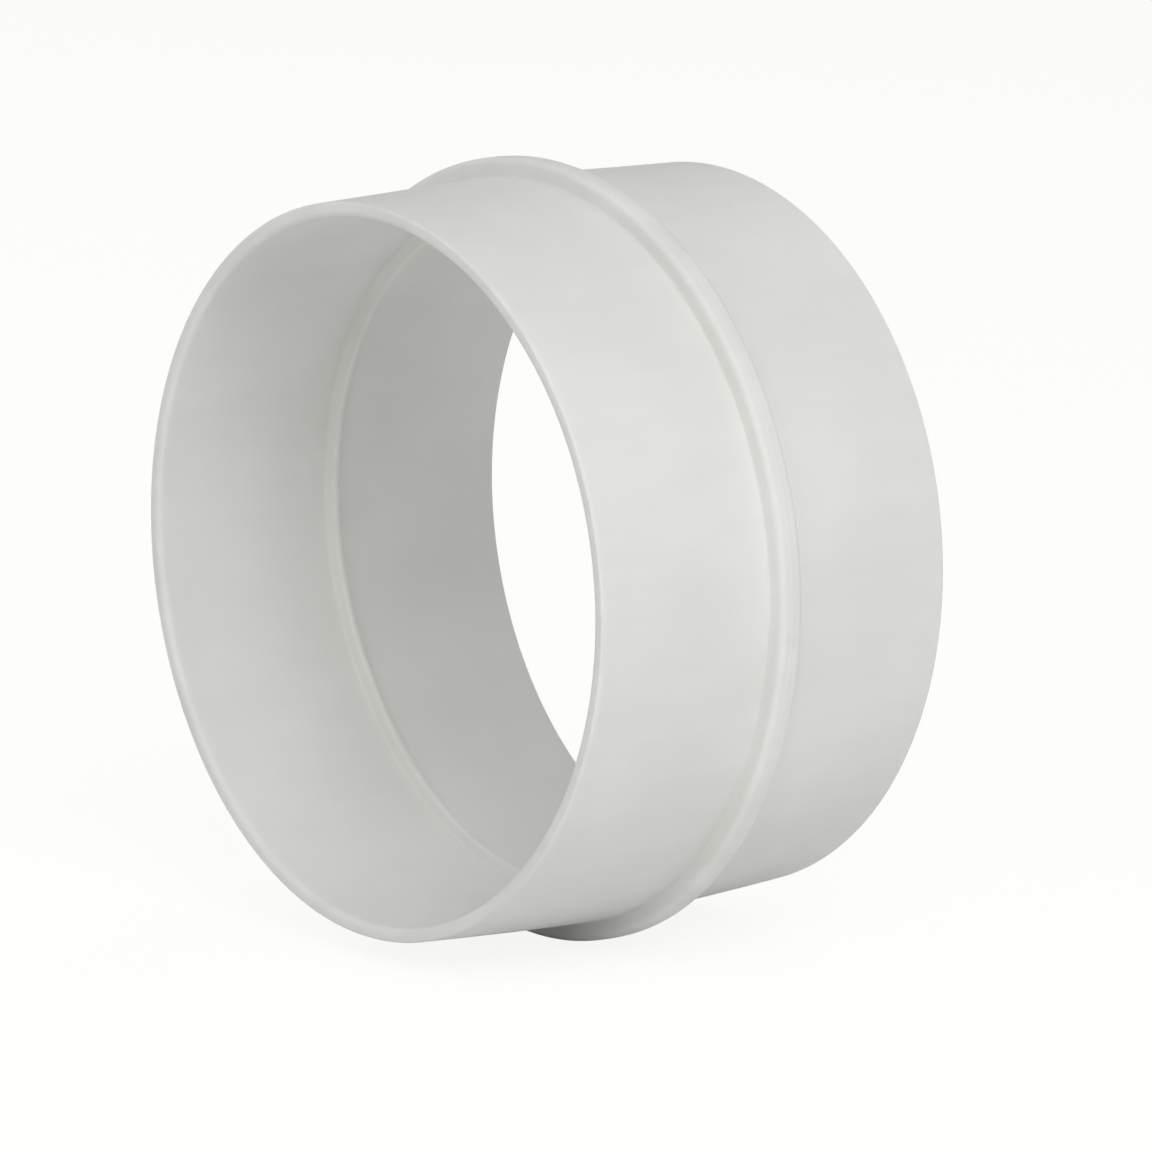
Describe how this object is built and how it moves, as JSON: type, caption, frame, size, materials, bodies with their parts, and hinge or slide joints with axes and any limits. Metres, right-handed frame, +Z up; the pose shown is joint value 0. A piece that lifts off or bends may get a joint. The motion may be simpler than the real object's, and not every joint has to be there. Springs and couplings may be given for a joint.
{
  "type": "push fit coupling",
  "caption": "Short round duct coupling: tapered push-fit sleeves either side of a raised stop collar, with a low rib inside the open bore.",
  "frame": {"origin": "on the bore's axis, half way between the mouths, in the middle of the collar", "axes": "+Y along the bore from the front mouth to the back mouth, +Z up, +X to the right seen from the front mouth; both halves are mirror images"},
  "size_m": [0.104, 0.0582, 0.104],
  "materials": {
    "white_plastic": "white rigid plastic, satin as moulded"
  },
  "bodies": {
    "root": {"coupling_body": "white_plastic"}
  },
  "joints": []
}
